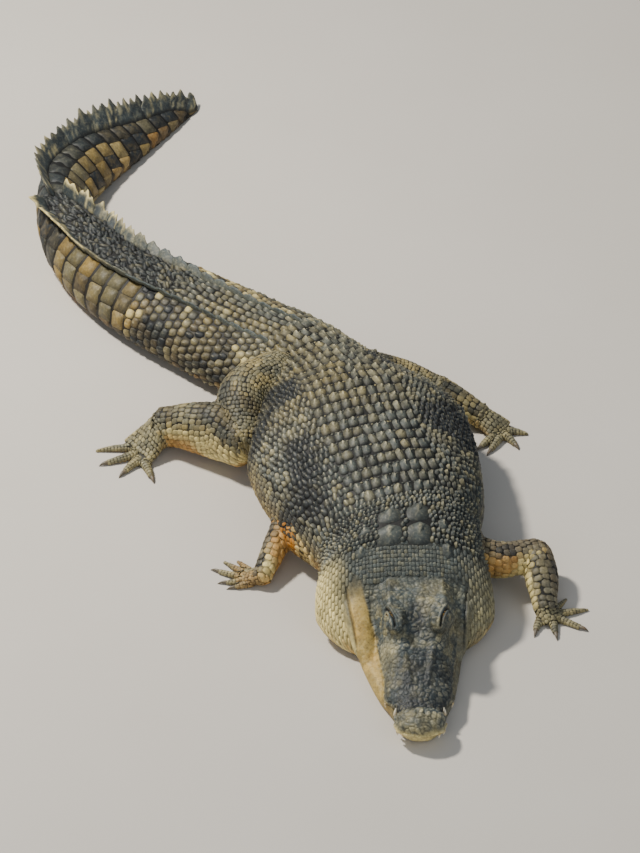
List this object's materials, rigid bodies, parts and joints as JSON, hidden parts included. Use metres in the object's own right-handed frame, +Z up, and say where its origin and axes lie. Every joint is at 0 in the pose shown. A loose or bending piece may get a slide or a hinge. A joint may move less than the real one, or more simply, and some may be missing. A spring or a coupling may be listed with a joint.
{
  "type": "saltwater crocodile",
  "caption": "Life-size saltwater crocodile lying on its belly with its mouth shut and its tail curled, for a still museum-type display.",
  "frame": {"origin": "on the floor, in the middle of the footprint", "axes": "+Z up, -Y ahead of the snout, +X to the animal's left at its head"},
  "size_m": [1.992, 3.8168, 0.3871],
  "materials": {
    "hide": "slate-grey keeled back scales with khaki and cream highlights",
    "tail_hide": "tall khaki-yellow tail scales with black blotches",
    "pale_hide": "cream and olive-yellow smooth scales",
    "claw": "dark horn, dull",
    "eye": "olive-gold eye, wet",
    "tooth": "ivory, slightly glossy"
  },
  "bodies": {
    "root": {"head_upper": "hide", "lower_jaw": "pale_hide", "eye_right": "eye", "eye_left": "eye", "neck": "hide", "trunk_front": "hide", "trunk_middle": "hide", "trunk_rear": "hide", "tail_1": "tail_hide", "tail_2": "tail_hide", "tail_3": "tail_hide", "tail_4": "tail_hide", "tail_5": "tail_hide", "tail_6": "tail_hide", "upper_arm_right": "hide", "forearm_right": "hide", "hand_right": "pale_hide", "claw_hand_right_1": "claw", "claw_hand_right_2": "claw", "claw_hand_right_3": "claw", "upper_arm_left": "hide", "forearm_left": "hide", "hand_left": "pale_hide", "claw_hand_left_1": "claw", "claw_hand_left_2": "claw", "claw_hand_left_3": "claw", "thigh_right": "hide", "shank_right": "hide", "foot_right": "pale_hide", "claw_foot_right_1": "claw", "claw_foot_right_2": "claw", "claw_foot_right_3": "claw", "thigh_left": "hide", "shank_left": "hide", "foot_left": "pale_hide", "claw_foot_left_1": "claw", "claw_foot_left_2": "claw", "claw_foot_left_3": "claw"}
  },
  "joints": []
}
